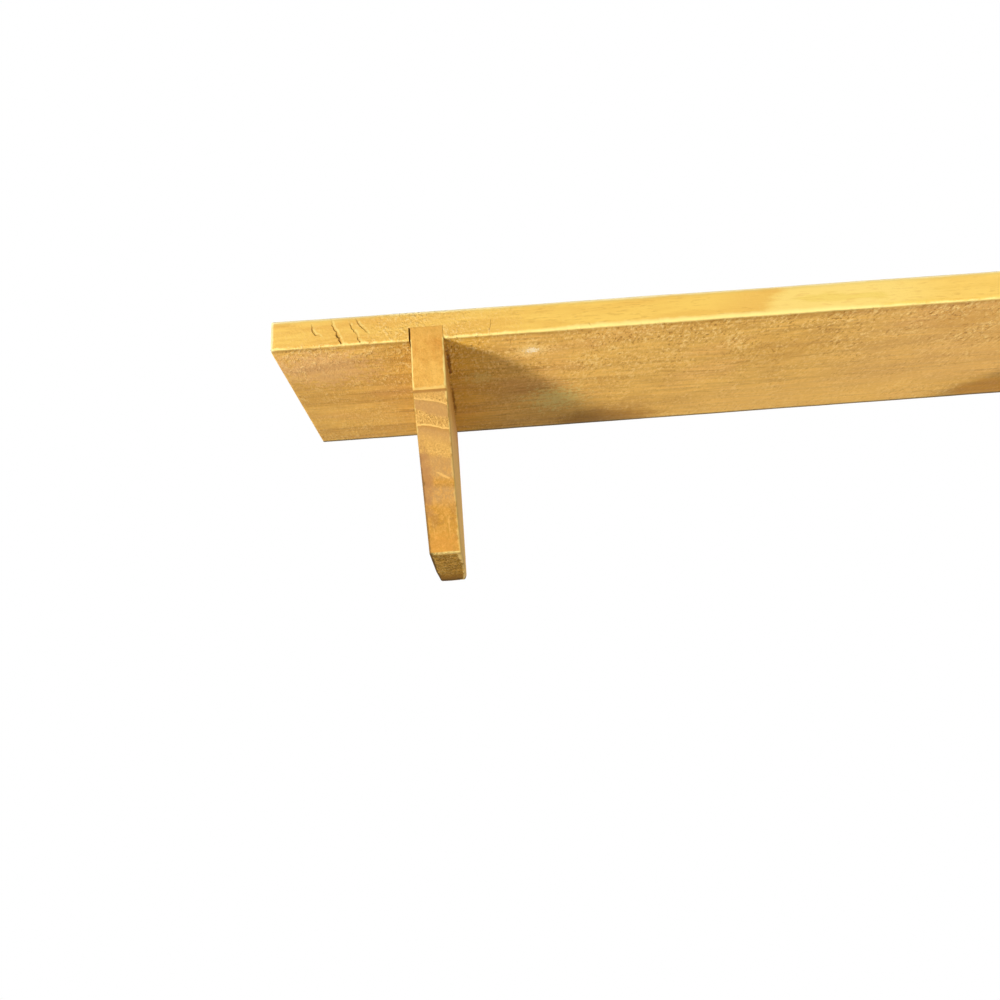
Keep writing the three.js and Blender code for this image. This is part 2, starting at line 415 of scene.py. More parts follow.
def lower_front_wear(x):
    """The lower front arris's radius in millimetres: a slow wander, a quick one and, left of the middle,
    small chips where a fine noise stands high."""
    widened = np.interp(x - x_left, [60, 95, 200, 343], [0.0, 0.45, 0.35, 0.2])
    chipped = np.interp(x - x_left, [60, 100], [1.0, 0.3]) * np.clip(drift_along(x, 1.4, 7) - 0.3, 0, 1)
    return 0.58 + widened + chipped + 0.18 * drift_along(x, 9.0, 1) + 0.16 * drift_along(x, 2.6, 2)


board_outline, board_outward = rounded_outline([
    (y_front, z_under, board_arris, 2.0),
    (y_rear, z_under, board_arris, 0.8),
    (y_rear, z_top, board_arris, 3.0),
    (y_front, z_top, board_arris, 0.32),
])
stations = x_left + np.concatenate([np.arange(*run) for run in station_runs])
rings = carried(board_outline, board_outward, x_left, x_right, board_arris, stations, cap_rings=10)
points = np.moveaxis(rings, -1, 0).copy()
left, front, under, right, rear, top = flat_faces(board_low, board_high)
for face_a, face_b, radius in (
    (front, under, lower_front_wear(points[0])),
    (front, top, 0.80 + 0.15 * drift_along(points[0], 12.0, 3)),
    (rear, under, 0.75 + 0.12 * drift_along(points[0], 7.0, 4)),
    (front, left, end_corner),
    (left, top, end_top),
):
    wear_arris(points, face_a, face_b, radius)

x, y, z = points
planing = drift(np.stack([x, y, z], -1), (22, 9, 9), 5)
hand = drift(np.stack([x, y, z], -1), (5, 3, 3), 6)
hollows = 1.2 + planing + 0.2 * hand
y = y + near(y - y_front, 0.6) * 0.05 * hollows
z = z + near(z - z_under, 0.6) * 0.04 * hollows
z = z - near(z_top - z, 0.6) * 0.04 * hollows
shelf_board = ring_mesh("board", np.stack([x, y, z], -1))
print("board faces:", len(shelf_board.data.polygons))

# %% [markdown]
# ## Cuts: housings, pockets and holes
# The real cuts are made with a saw, a chisel and a small drill after the board is planed, so they are
# made last here too: closed cutters are taken away from the board with a boolean. Their places come
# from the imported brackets, hangers and nails. Only the clearances are stated.

# %% Block and pocket cutters
overcut = 1.0


def block(name, low, high):
    """A plain block between two corners, as two rings of four."""
    (x0, y0, z0), (x1, y1, z1) = low, high
    ring = np.array([(y0, z0), (y1, z0), (y1, z1), (y0, z1)], float)
    return ring_mesh(name, np.array([np.column_stack([np.full(4, x), ring]) for x in (x0, x1)]))


def slot_in_rear(name, middle_x, length, height, corner, deep):
    """A pocket cutter: a rounded oblong in (x, z), carried along y from outside the rear edge inwards."""
    half_x, half_z = length / 2, height / 2
    corners = [(middle_x + i * half_x, k * half_z, corner, length) for i, k in round_a_square]
    outline, _ = rounded_outline(corners)
    stations = [np.insert(outline, 1, y, axis=1) for y in (y_rear + overcut, y_rear - deep)]
    return ring_mesh(name, np.array(stations))

# %% Nail holes
hole_clearance = 0.06
turn_steps = 32
nail_kinds = {"brad": (2, 0.65, 1.0), "tack": (1, 0.60, 0.5)}  # axis, shank radius, head height
nails = [name for kind in nail_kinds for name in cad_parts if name.endswith(kind)]
print("nails:", len(nails))


def turned(name, profile, place, axis):
    """A turned piece: (radius, height) pairs swept round an axis, height measured outwards along it
    from place. Point = place + height x axis + radius x (cos t, sin t) in the plane across it."""
    across = np.roll(axis, 1)
    angle = np.linspace(0, 2 * np.pi, turn_steps, endpoint=False)[:, None]
    spoke = np.cos(angle) * across + np.sin(angle) * np.cross(axis, across)
    stations = [place + height * axis + radius * spoke for radius, height in profile]
    return ring_mesh(name, np.array(stations))


def nail_facts(name):
    """Head face, axis, length, head radius of a packed nail, from its box: a brad stands, a tack lies."""
    low, high = node_box(name)
    k = nail_kinds[name[-4:]][0]
    axis = np.eye(3)[k]
    middle = (low + high) / 2
    return middle + axis * (high[k] - middle[k]), axis, high[k] - low[k], (high[0] - low[0]) / 2


def nail_hole(name):
    """The hole a nail fills: its head and shank, wider by the clearance, open above the head."""
    place, axis, length, head = nail_facts(name)
    _, shank, head_height = nail_kinds[name[-4:]]
    shank, wide = shank + hole_clearance, head + hole_clearance
    bottom, floor_of_head = -length - hole_clearance, -head_height - hole_clearance
    profile = [(0.01, bottom), (shank, bottom), (shank, floor_of_head), (wide, floor_of_head)]
    return turned("cutter", profile + [(wide, overcut), (0.01, overcut)], place, axis)

# %% Cutting
def cut_away(piece, cutters):
    """Takes closed cutters away from a piece, keeps the result as its mesh and removes the cutters."""
    for cutter in cutters:
        step = piece.modifiers.new("cut", "BOOLEAN")
        step.operation = "DIFFERENCE"
        step.solver = "MANIFOLD"
        step.object = cutter
    bpy.context.view_layer.update()
    view = bpy.context.evaluated_depsgraph_get()
    piece_cut = bpy.data.meshes.new_from_object(piece.evaluated_get(view))
    piece.modifiers.clear()
    piece.data = piece_cut
    for cutter in cutters:
        bpy.data.objects.remove(cutter)
    print(piece.name, "after cutting:", len(piece_cut.polygons), "faces")

# %% Housings and pockets
housing_gap = 0.46
pocket_clearance = 0.35
nail_head_room = 3.6
hanger_sheet = 0.8
hanger_corner = 1.6
bridge_share = 0.5

cutters = []
for side, outward_sign in sides.items():
    low, high = node_box(f"{side}_bracket")
    gap_low, gap_high = (housing_gap, 0) if outward_sign < 0 else (0, housing_gap)
    slot_low = (low[0] - gap_low, y_front - overcut, z_under - overcut)
    slot_high = (high[0] + gap_high, y_rear + overcut, high[2])
    cutters.append(block("cutter", slot_low, slot_high))
    low, high = node_box(f"{side}_hanger")
    middle = (low[0] + high[0]) / 2
    length, tall = high[0] - low[0], high[2] - low[2] + 2 * pocket_clearance
    corner = hanger_corner + pocket_clearance
    cutters.append(slot_in_rear("cutter", middle, length + 2 * pocket_clearance, tall, corner, -low[1]))
    relief_depth = -high[1] + hanger_sheet + nail_head_room
    cutters.append(slot_in_rear("cutter", middle, length * bridge_share, tall, corner, relief_depth))
cutters += [nail_hole(name) for name in nails]
print("cutters before the cracks:", len(cutters))

# %% [markdown]
# ## Cracks in the front edge
# Near the left end four drying cracks run down the front edge, and the second one opens through the
# lower arris. A short one, a hairline and two faint ones further along join them. A crack is a thin
# wedge: two lips on the face and a root inside the wood. Each cutter is that triangle carried down a
# crooked path, so the crack is real depth and not paint.

# %% A crack's cutter
crack_stations = 30
lip_spread = 1.6
lip_height = 0.6
crack_roots, crack_middles, crack_rights = [], [], []


def crack(path, seed, lean=0.65, painted_lips=True):
    """A wedge along a path of (mm from the left end, mm above the underside, mm wide). Every station is
    a triangle: two lips in front of the face and a root behind it, depth = 0.25 + 0.16 x width. The root
    leans towards the left lip, so one wall is steep and dark and the other catches the light. Where the
    crack gets a painted pale lip on its right and painted shade on its left, its middle line and
    rightward direction are kept for the finish."""
    path = np.array(path, float)
    reach = np.concatenate([[0], np.cumsum(np.linalg.norm(np.diff(path[:, :2], axis=0), axis=1))])
    s = np.linspace(0, 1, crack_stations)
    across, up, width = (np.interp(s * reach[-1], reach, column) for column in path.T)
    down = np.column_stack([across, up])
    shake = drift_along(s * reach[-1], 0.6, seed)
    ends = np.clip(np.minimum(s, 1 - s) / 0.12, 0.08, 1)
    wide = width * ends * (1 + 0.3 * shake)
    lead = np.gradient(down, axis=0)
    aside = np.column_stack([lead[:, 1], -lead[:, 0]]) / np.linalg.norm(lead, axis=1)[:, None]
    middle = down + 0.12 * shake[:, None] * aside
    half = wide[:, None] / 2 * aside
    depth = (0.25 + 0.16 * wide) * ends
    lips = [(middle + sign * lip_spread * half, -lip_height + 0 * s) for sign in (1, -1)]
    rows = [*lips, (middle + lean * half, depth)]
    stations = [np.column_stack([x_left + p[:, 0], y_front + d, z_under + p[:, 1]]) for p, d in rows]
    crack_roots.append(stations[2])
    if painted_lips:
        crack_middles.append(middle + (x_left, z_under))
        crack_rights.append(-aside)
    return ring_mesh("cutter", np.stack(stations, 1))

# %% The cracks
open_crack = [
    (17.9, 7.9, 0.45), (18.25, 6.6, 0.60), (18.95, 5.3, 0.80), (19.75, 4.0, 1.3),
    (20.1, 2.9, 1.8), (20.5, 1.9, 1.4), (20.95, 0.5, 0.9), (21.1, -0.4, 0.6),
]
cutters += [
    crack([(12.1, 7.2, 0.40), (12.6, 5.3, 0.65), (13.3, 4.15, 0.65), (14.5, 3.5, 0.40)], 11),
    crack(open_crack, 12),
    crack([(23.3, 7.0, 0.45), (23.85, 5.4, 0.65), (24.7, 4.05, 0.60), (25.3, 3.1, 0.40)], 14),
    crack([(25.4, 2.6, 0.40), (25.7, 1.6, 0.60), (26.3, 0.3, 0.55)], 15),
    crack([(26.2, 2.1, 0.22), (27.5, 1.9, 0.26), (28.8, 1.6, 0.20)], 19, lean=0.0, painted_lips=False),
    crack([(25.0, 8.2, 0.40), (25.9, 6.45, 0.65), (27.1, 5.0, 0.65), (28.2, 3.5, 0.45)], 16),
    crack([(64.2, 5.6, 0.20), (64.0, 3.6, 0.30), (63.5, 1.9, 0.30), (63.3, 0.9, 0.22)], 17, painted_lips=False),
    crack([(92.2, 1.9, 0.24), (92.6, 1.1, 0.34), (92.9, 0.5, 0.26)], 18, painted_lips=False),
]
cut_away(shelf_board, cutters)

# %% [markdown]
# ## The brackets
# A bracket is sawn from the same stock with its grain upright. The nose and the back are planed, the
# bevel and the foot are left from the saw, so they are rougher. The bevel starts a hair deeper than the
# nose's arris, which shows as a dark line across the bracket.

# %% A bracket's body
bevel_step = 0.22
nose_height = 16.0
foot_length = 38.0
bracket_arris = 0.35


def bevel_of(low, high):
    """The saw cut in (y, z): where it starts, the unit direction down it and the outward one."""
    start = np.array([low[1], z_under - nose_height])
    down = np.array([high[1] - foot_length, low[2]]) - start
    down = down / np.linalg.norm(down)
    return start, down, np.array([down[1], -down[0]])


def bracket_body(side, seed):
    """The five-cornered outline in (y, z), carried across the thickness. Foot and bevel sink below their
    planes by random hills, weighted by how near each point is to that plane."""
    low, high = node_box(f"{side}_bracket")
    start, down, out = bevel_of(low, high)
    outline, outward = rounded_outline([
        (low[1], start[1], 0.5, 0.35),
        (high[1] - foot_length, low[2], 0.5, 0.3),
        (high[1], low[2], 0.6, 0.9),
        (high[1], high[2], 0.5, 2.0),
        (low[1], high[2], 0.12, 0.45),
    ])
    eased = np.interp(outline[:, 1], [z_under - 0.8, z_under], [1.0, 0.15])
    stations = np.linspace(low[0] + bracket_arris, high[0] - bracket_arris, 28)[1:-1]
    rings = carried(outline, outward, low[0], high[0], bracket_arris, stations, cap_rings=16, eased=eased)
    x, y, z = np.moveaxis(rings, -1, 0)
    depth = -((y - start[0]) * out[0] + (z - start[1]) * out[1])
    down_slope = (y - start[0]) * down[0] + (z - start[1]) * down[1]
    place = np.stack([x, y, z], -1)
    on_bevel = near(depth, 0.5) * np.clip((down_slope - 0.1) / 0.25, 0, 1)
    torn = 0.05 * (2 + drift(place, (1.6, 1.1, 1.1), seed) + drift(place, (6, 4, 4), seed + 1))
    sink = on_bevel * (torn + bevel_step * np.exp(-np.maximum(down_slope, 0) / 4.0))
    y, z = y - sink * out[0], z - sink * out[1]
    pits = np.clip(drift(place, 0.9, seed + 2), 0, 1) + 0.5 * (1 + drift(place, 2.4, seed + 3))
    z = z + near(z - low[2], 0.5) * 0.13 * pits
    y = y + near(y - low[1], 0.5) * 0.04 * (1 + drift(place, (4, 4, 7), seed + 4))
    points = np.stack([x, y, z])
    left, front, foot, right, rear, _ = flat_faces(low, high)
    in_slot = np.clip((z - z_under + 0.6) / 0.6, 0, 1)
    worn = (0.55 + 0.2 * drift(place, (30, 30, 5), seed + 5)) * (1 - 0.85 * in_slot)
    handled = 1.4 * np.clip((low[2] + 9 - z) / 9, 0, 1) + 0.15
    for face, radius in ((front, worn), (rear, handled)):
        wear_arris(points, left, face, radius)
        wear_arris(points, right, face, radius)
    rubbed = np.interp(points[1], [high[1] - 16, high[1] - 2], [0.25, 1.6])
    wear_arris(points, left, foot, rubbed)
    wear_arris(points, right, foot, rubbed)
    return ring_mesh(f"{side}_bracket_wood", np.moveaxis(points, 0, -1))

# %% Both brackets
bracket_wood = {side: bracket_body(side, 40 + 10 * i) for i, side in enumerate(sides)}
for side, piece in bracket_wood.items():
    cut_away(piece, [nail_hole(name) for name in nails if name.startswith(f"{side}_bracket")])

# %% [markdown]
# ## Distances that the finishes read
# Varnish wears first along the arrises, a cut shows bare wood, and a crack fills with dirt. None of
# these can be seen from a point's place alone, so each is measured here and stored on the mesh.
# A point lies near an arris when it is close to two of the piece's flat faces at once, so the second
# smallest of its distances to those faces is its arris distance. The smallest is how deep it lies.
# Each crack has a painted pale lip on its right and painted shade on its left, so the signed distance to
# it is stored as well.

# %% Arris and depth
def store(piece, **columns):
    """Keeps named numbers, one for each point of a piece."""
    for name, values in columns.items():
        layer = piece.data.attributes.new(name, "FLOAT", "POINT")
        layer.data.foreach_set("value", np.asarray(values, np.float32))


def measure(piece, low, high, slanted=()):
    """Stores arris and depth, in millimetres, from the faces of the piece's box and from slanted faces,
    each (a point on it, outward normal). Gives the piece's points."""
    places = np.empty(len(piece.data.vertices) * 3, np.float32)
    piece.data.vertices.foreach_get("co", places)
    places = places.reshape(-1, 3).astype(float) / millimetre
    distances = [np.abs(places[:, k] - level) for k, level, _ in flat_faces(low, high)]
    distances += [np.abs((places - spot) @ normal) for spot, normal in slanted]
    depth, arris = np.sort(distances, 0)[:2]
    store(piece, arris=arris, depth=depth)
    return places


board_points = measure(shelf_board, board_low, board_high)
for side, piece in bracket_wood.items():
    low, high = node_box(f"{side}_bracket")
    start, _, out = bevel_of(low, high)
    measure(piece, low, high, [((low[0], *start), np.array([0, *out]))])
print("board points:", len(board_points))

# %% Beside the cracks
on_root = 0.02
edge_depth, cracked_length = 2, 100
far_from_crack = 5.0

reached = (board_points[:, :2] < (x_left + cracked_length, y_front + edge_depth)).all(1)
front_points = np.flatnonzero(reached)
roots, middles, rights = (np.concatenate(rows) for rows in (crack_roots, crack_middles, crack_rights))
gaps = np.linalg.norm(board_points[front_points, None] - roots[None], axis=-1).min(1)
in_crack = np.zeros(len(board_points))
in_crack[front_points[gaps < on_root]] = 1
print("crack root points found:", int(in_crack.sum()), "of", len(roots))

away = board_points[front_points][:, None, [0, 2]] - middles[None]
nearest = np.linalg.norm(away, axis=-1).argmin(1)
apart = away[np.arange(len(nearest)), nearest]
side_of = np.sign(np.einsum("ij,ij->i", apart, rights[nearest]))
crack_side = np.full(len(board_points), far_from_crack)
crack_side[front_points] = np.minimum(np.linalg.norm(apart, axis=-1), far_from_crack) * side_of
store(shelf_board, front_wear=lower_front_wear(board_points[:, 0]), crack=in_crack, crack_side=crack_side)

# %% [markdown]
# ## Helpers for finishes
# A finish is laid on in layers, one colour over another, each where its mask lets it. An effect that
# several finishes share is a node group, built once with named inputs and outputs.

# %% Colour, place and noise helpers
def colour(red, green, blue):
    """A screen colour from 0 to 255 as the linear values that a shader takes."""
    screen = np.array([red, green, blue]) / 255
    linear = np.where(screen <= 0.04045, screen / 12.92, ((screen + 0.055) / 1.055) ** 2.4)
    return (*linear.tolist(), 1.0)


def tint(share, a, b, mode="MIX"):
    """Colour a changed towards b by a share."""
    settings = {"data_type": "RGBA", "blend_type": mode, "clamp_factor": True}
    return wire(share.tree, "ShaderNodeMix", {0: share, 6: a, 7: b}, output=2, **settings)


def layered(base, *layers):
    """A colour with layers (share, colour) laid over it, one after the other."""
    for share, paint, *mode in layers:
        base = tint(share, base, paint, *mode)
    return base


def separated(place):
    """The three numbers of a place, by axis."""
    return wires_of(add(place.tree, "ShaderNodeSeparateXYZ", {0: place}))


def stretched(place, x, y, z):
    """A place scaled by axis: a small number makes a pattern long that way."""
    return vectors("MULTIPLY", place, wire(place.tree, "ShaderNodeCombineXYZ", {"X": x, "Y": y, "Z": z}))


def hills(place, per_metre, detail=2.0, roughness=0.5):
    """A noise texture's value, with so many hills per metre, or per metre of each axis."""
    if isinstance(per_metre, tuple):
        place, per_metre = stretched(place, *per_metre), 1.0
    wires = {"Vector": place, "Scale": per_metre, "Detail": detail, "Roughness": roughness}
    return wire(place.tree, "ShaderNodeTexNoise", wires, "Fac")

# %% Group and finish helpers
def socket_names(values):
    """Values by the names of their sockets: bands_per_metre is the socket Bands per metre."""
    return {name.replace("_", " ").capitalize(): value for name, value in values.items()}


def new_group(name, outputs, **inputs):
    """An empty node group that takes a place, Vector, and the given inputs with their usual values. Gives
    its tree, its inputs' wires by name and the sockets of its output node."""
    tree = bpy.data.node_groups.new(name, "ShaderNodeTree")
    for label, usual in socket_names({"vector": (0, 0, 0), **inputs}).items():
        kind = "NodeSocketVector" if isinstance(usual, tuple) else "NodeSocketFloat"
        tree.interface.new_socket(label, in_out="INPUT", socket_type=kind).default_value = usual
    for label in outputs:
        tree.interface.new_socket(label, in_out="OUTPUT", socket_type="NodeSocketFloat")
    print("group", name, "gives", ", ".join(outputs))
    return tree, wires_of(tree.nodes.new("NodeGroupInput")), tree.nodes.new("NodeGroupOutput").inputs


def use(group, vector, **values):
    """Places a group in the vector's tree, with its own values, and gives its wires by name."""
    wires = {"Vector": vector, **socket_names(values)}
    return wires_of(add(vector.tree, "ShaderNodeGroup", wires, node_tree=group))


def new_finish(name, wires):
    """A material, the inputs of its Principled shader, some of them set, and its own coordinates."""
    material, tree = new_material(name)
    shader = add(tree, "ShaderNodeBsdfPrincipled", wires)
    add(tree, "ShaderNodeOutputMaterial", {"Surface": Wire(shader.outputs["BSDF"])})
    return material, shader.inputs, wire(tree, "ShaderNodeTexCoord", output="Object")


def stored(place, label):
    """A number that is stored on the mesh."""
    settings = {"attribute_name": label, "attribute_type": "GEOMETRY"}
    return wire(place.tree, "ShaderNodeAttribute", output="Fac", **settings)


def coat(shader, paint, dullness, relief, strength, height):
    """Joins colour, roughness and a bump of this relief to a Principled shader."""
    join(paint, shader["Base Color"])
    join(dullness, shader["Roughness"])
    bump = {"Strength": strength, "Distance": height * millimetre, "Height": relief}
    join(wire(relief.tree, "ShaderNodeBump", bump), shader["Normal"])

# %% [markdown]
# ## Shared effect: long grain
# Planed softwood shows broad soft bands, fine streaks and short dashes, all drawn out along the grain.
# Each is a noise squeezed across the grain and stretched along it, after the lines have been bent a
# little by a slow noise. The thin dark growth lines are the places where one such noise passes through
# its middle value. The group expects the grain along X.

# %% Group: long grain
grain, given, leaving = new_group(
    "long grain", ["Bands", "Streaks", "Dashes", "Lines"],
    waver=0.0015, bands_per_metre=160.0, streaks_per_metre=900.0, dashes_per_metre=2200.0,
)
shift = (hills(given["Vector"], (9, 30, 30)) - 0.5) * given["Waver"]
sideways = wire(grain, "ShaderNodeCombineXYZ", {"Y": shift, "Z": shift})
bent_place = vectors("ADD", given["Vector"], sideways)
for label, along, detail in (("Bands", 7, 2), ("Streaks", 45, 3), ("Dashes", 260, 2)):
    across = given[f"{label} per metre"]
    join(span(hills(bent_place, (along, across, across), detail, 0.6), 0.32, 0.68), leaving[label])
level = hills(bent_place, (6, 165, 165), 1)
join(span(abs(level - 0.5), 0.024, 0), leaving["Lines"])

# %% [markdown]
# ## Shared effect: a ragged arris line
# The varnish is thin and pale along an arris, in a ragged line, and the top arris carries a painted glow
# in the same kind of line. The mask is the stored arris distance, or another distance, pushed about by a
# fine noise, turned from 1 at the arris to 0 at the given width.

# %% Group: ragged arris line
arris_line_group, given, leaving = new_group("ragged arris line", ["Mask"], distance=9.0, width=0.8, ragged=0.8)
rough_line = hills(given["Vector"], 420, 3, 0.65) - 0.5
slow_line = hills(given["Vector"], 55) - 0.5
pushed = given["Distance"] + (rough_line + slow_line) * given["Ragged"]
join(span(pushed, given["Width"], given["Width"] * 0.4), leaving["Mask"])


def ragged_arris_line(place, distance, width, ragged=0.8):
    """The mask of a ragged line, for wear or a painted glow, along the place where a distance in
    millimetres is nothing.
    """
    return use(arris_line_group, place, distance=distance, width=width, ragged=ragged)["Mask"]

# %% [markdown]
# ## Shared effect: specks
# Raised fibres, dust and tiny varnish pimples show as pale specks under half a millimetre across, with
# dark hollows between. They are the peaks and pits of a fine noise, gathered in patches by a slower one.

# %% Group: specks
specks, given, leaving = new_group("specks", ["Pale", "Dark", "Height"], per_metre=1500.0, patches=0.5)
fine = hills(stretched(given["Vector"], 1, 0.6, 1), given["Per metre"], 2, 0.6)
patch = span(hills(given["Vector"], 110, 4, 0.75), 0.36, 0.66)
share = calculated("ADD", patch * given["Patches"], 1.0 - given["Patches"], clamp=True)
join(span(fine, 0.53, 0.62) * share, leaving["Pale"])
join(span(fine, 0.42, 0.33) * share, leaving["Dark"])
join((fine - 0.5) * share, leaving["Height"])

# %% [markdown]
# ## Shared effect: a smudge
# A pale smudge, a darker patch or a scar at one place. The distance from its centre, measured in its own
# half-widths and pushed about by noise, gives a soft ragged blot. Slant shears it, for a scar that runs
# askew.

# %% Group: smudge
smudge, given, leaving = new_group(
    "smudge", ["Mask"],
    centre=(0, 0, 0), half_widths=(1, 1, 1), slant=0.0, ragged=0.8, per_metre=420.0,
)
parts = separated(vectors("SUBTRACT", given["Vector"], given["Centre"]))
sheared = parts["Y"] - parts["X"] * given["Slant"]
straight = wire(smudge, "ShaderNodeCombineXYZ", {"X": parts["X"], "Y": sheared, "Z": parts["Z"]})
from_centre = vectors("LENGTH", vectors("DIVIDE", straight, given["Half widths"]), output="Value")
blot = hills(given["Vector"], given["Per metre"], 3, 0.65) - 0.5
join(span(from_centre + blot * given["Ragged"], 1.0, 0.35), leaving["Mask"])


def smudged(wood, place, centre, halves, share, paint, **shape):
    """Lays one smudge on the wood. Its centre and half widths are in millimetres."""
    centre, halves = (tuple(v * millimetre for v in numbers) for numbers in (centre, halves))
    mark = use(smudge, place, centre=centre, half_widths=halves, **shape)["Mask"]
    return tint(mark * share, wood, paint)

# %% [markdown]
# ## The board's finish
# Honey varnish on pale softwood. The front edge is yellower than the underside, which has darkened to
# tan. Left of the middle the front edge runs askew into sapwood, which is yellower still. The lower
# front arris is rubbed pale in a band that widens to the right. Fine specks gather near the front of the
# underside, a few smudges lie on it, and dirt sits in the cracks' roots. Light and shade are painted on
# as well: a glow along the top arris, a pale lip right of each crack and shade left of it, a shadow
# behind the lower front arris, a dark line along the rear arris, and warmer tints in the brackets'
# shadows. Distances in the masks are millimetres from the board's left end, front edge or underside.

# %% Board: colours
honey_light = colour(243, 199, 100)
honey_orange = colour(231, 178, 86)
honey_yellow = colour(248, 207, 96)
sap_front = colour(248, 216, 122)
sap_olive = colour(242, 210, 108)
tan_light = colour(234, 184, 94)
tan_dark = colour(202, 152, 74)
tan_bright = colour(244, 192, 104)
tan_pink = colour(220, 170, 102)
pale_wear_and_highlight = colour(248, 222, 135)
cream_wear_and_glow = colour(252, 235, 176)
top_ochre = colour(220, 188, 104)
grain_mark = colour(204, 148, 64)
raw_wood = colour(226, 190, 132)
shade_brown = colour(104, 66, 24)
crack_dirt = colour(126, 82, 22)
dirt_and_shade_brown = colour(124, 68, 4)
shade_line = colour(112, 96, 60)
dust = colour(246, 208, 130)
chalk = colour(255, 250, 232)
blush = colour(222, 156, 104)
stain = colour(226, 204, 124)
drip = colour(196, 142, 64)
warm_brown = colour(158, 104, 40)
warm_shade_tint = (1.0, 0.97, 0.62, 1.0)

# %% Board: places and patterns
board_finish, shader, own_place = new_finish("honey_varnished_board", {"Specular IOR Level": 0.10})
arris, depth, wear_radius, in_crack, crack_side = (
    stored(own_place, label) for label in ("arris", "depth", "front_wear", "crack", "crack_side")
)
axes = separated(own_place)
from_left, from_front, above_under = (axes[k] / millimetre - low for k, low in zip("XYZ", board_low))
below_top = float(z_top - z_under) - above_under
lines = use(grain, own_place, waver=0.0022, bands_per_metre=130, streaks_per_metre=700)
dusty = use(specks, own_place, per_metre=1150, patches=0.75)

on_front = span(from_front, 1.2, 0.5)
below = span(above_under, 1, 0.2)
clouds = span(hills(own_place, (45, 300, 300), 4, 0.62), 0.37, 0.63)
blots = span(hills(own_place, (90, 170, 170), 4, 0.6), 0.34, 0.66)
blushes = span(hills(own_place, (30, 70, 70)), 0.54, 0.68)

# %% Board: front edge
askew = from_left - above_under * 0.9 + clouds * 3
heart_edge = span(askew, 124, 140) * span(askew, 147.4, 141.8)
over_bracket = span(from_left, 20, 32) * span(from_left, 62, 52)
front_dashes = span(lines["Dashes"], 0.30, 0) * span(blots, 0.15, 0.65, 0.05, 0.34)
sap_wood = layered(sap_front, (span(clouds, 0.5, 0), sap_olive), (front_dashes * 0.8, honey_orange))
front_wood = layered(
    honey_orange,
    (clouds * 0.92 + lines["Streaks"] * 0.08, honey_light),
    (span(from_left, 44, 92, 0, 0.40), honey_yellow),
    (heart_edge * 0.55, honey_orange),
    (over_bracket * 0.35, honey_orange),
    (front_dashes, grain_mark),
    (span(askew, 141.8, 147.4) * span(from_left, 176, 204, 0.88, 0.20), sap_wood),
)

# %% Board: underside
under_mix = lines["Bands"] * 0.28 + lines["Streaks"] * 0.34 + lines["Dashes"] * 0.16 + blots * 0.22
rear_right = span(from_front, 38, 56) * span(from_left, 112, 150) * span(from_left, 240, 212)
under_wood = layered(
    tan_dark,
    (span(under_mix, 0.05, 0.94), tan_light),
    (blushes * 0.16, blush),
    (lines["Lines"] * blots * 0.50, warm_brown),
    (span(from_left, 150, 205, 0, 0.40) * span(from_front, 56, 46), tan_pink),
    (rear_right * 0.45, tan_bright),
    # Painted shade colour: a warmer, less blue tint in and beside the left bracket's shadow, standing in
    # for light bounced off the wood.
    (span(from_left, 28, 48) * span(from_left, 70, 52), warm_shade_tint, "MULTIPLY"),
)

# %% Board: specks
near_front = span(from_front, 42, 6, 0.42, 1)
near_bracket = span(from_left, 78, 58, 0.10, 1) * span(from_left, 16, 34, 0.25, 1)
speck_share = below * near_front + on_front * near_bracket
pits_share = span(on_front, 0, 1, 0.85, 0.50) * span(from_left, 40, 75, 0.50, 1)
wood = layered(
    under_wood,
    (on_front, front_wood),
    (dusty["Pale"] * speck_share * 0.95, dust),
    (dusty["Dark"] * speck_share * pits_share, warm_brown),
)

# %% Board: smudges
smudges = [  # middle, half widths, strength, colour, noise per metre, raggedness
    ((75.9, 10.7), (2.5, 1.7), 1.0, chalk, 1500, 3.2),
    ((75.9, 10.7), (6.5, 4.0), 0.62, dust, 1300, 4.0),
    ((86.5, 46.5), (10.0, 9.5), 0.16, stain, 240, 2.2),
    ((85.0, 44.5), (9.5, 9.0), 0.62, stain, 620, 5.5),
    # A darker brown band along the rear edge, right of the left bracket.
    ((104.0, 64.0), (26.0, 12.0), 0.50, dirt_and_shade_brown, 200, 0.8),
    ((60.0, 26.0), (5.0, 4.5), 0.40, stain, 900, 4.0),
    # Dirt and painted contact shade along the joint of the bracket's right side and the underside.
    ((50.5, 15.0), (0.8, 10.0), 0.78, dirt_and_shade_brown, 420, 2.4),
    ((50.4, 40.0), (0.7, 16.0), 0.66, dirt_and_shade_brown, 420, 2.0),
    ((12.0, 13.0), (21.0, 14.0), 0.40, colour(232, 180, 128), 420, 2.2),
    # Painted warm bounce light in the right bracket's shadow, at the underside's rear right.
    ((246.0, 62.0), (16.0, 12.0), 0.42, colour(226, 148, 44), 200, 0.8),
    ((157.0, 22.0), (20.0, 14.0), 0.30, drip, 200, 1.6),
    ((208.0, 10.0), (16.0, 9.0), 0.30, drip, 200, 1.6),
]
for (mark_x, mark_y), (half_x, half_y), strength, paint, fineness, ragged in smudges:
    centre, halves = (x_left + mark_x, y_front + mark_y, z_under), (half_x, half_y, 1)
    wood = smudged(wood, own_place, centre, halves, strength, paint, ragged=ragged, per_metre=fineness)
print("smudges laid:", len(smudges))
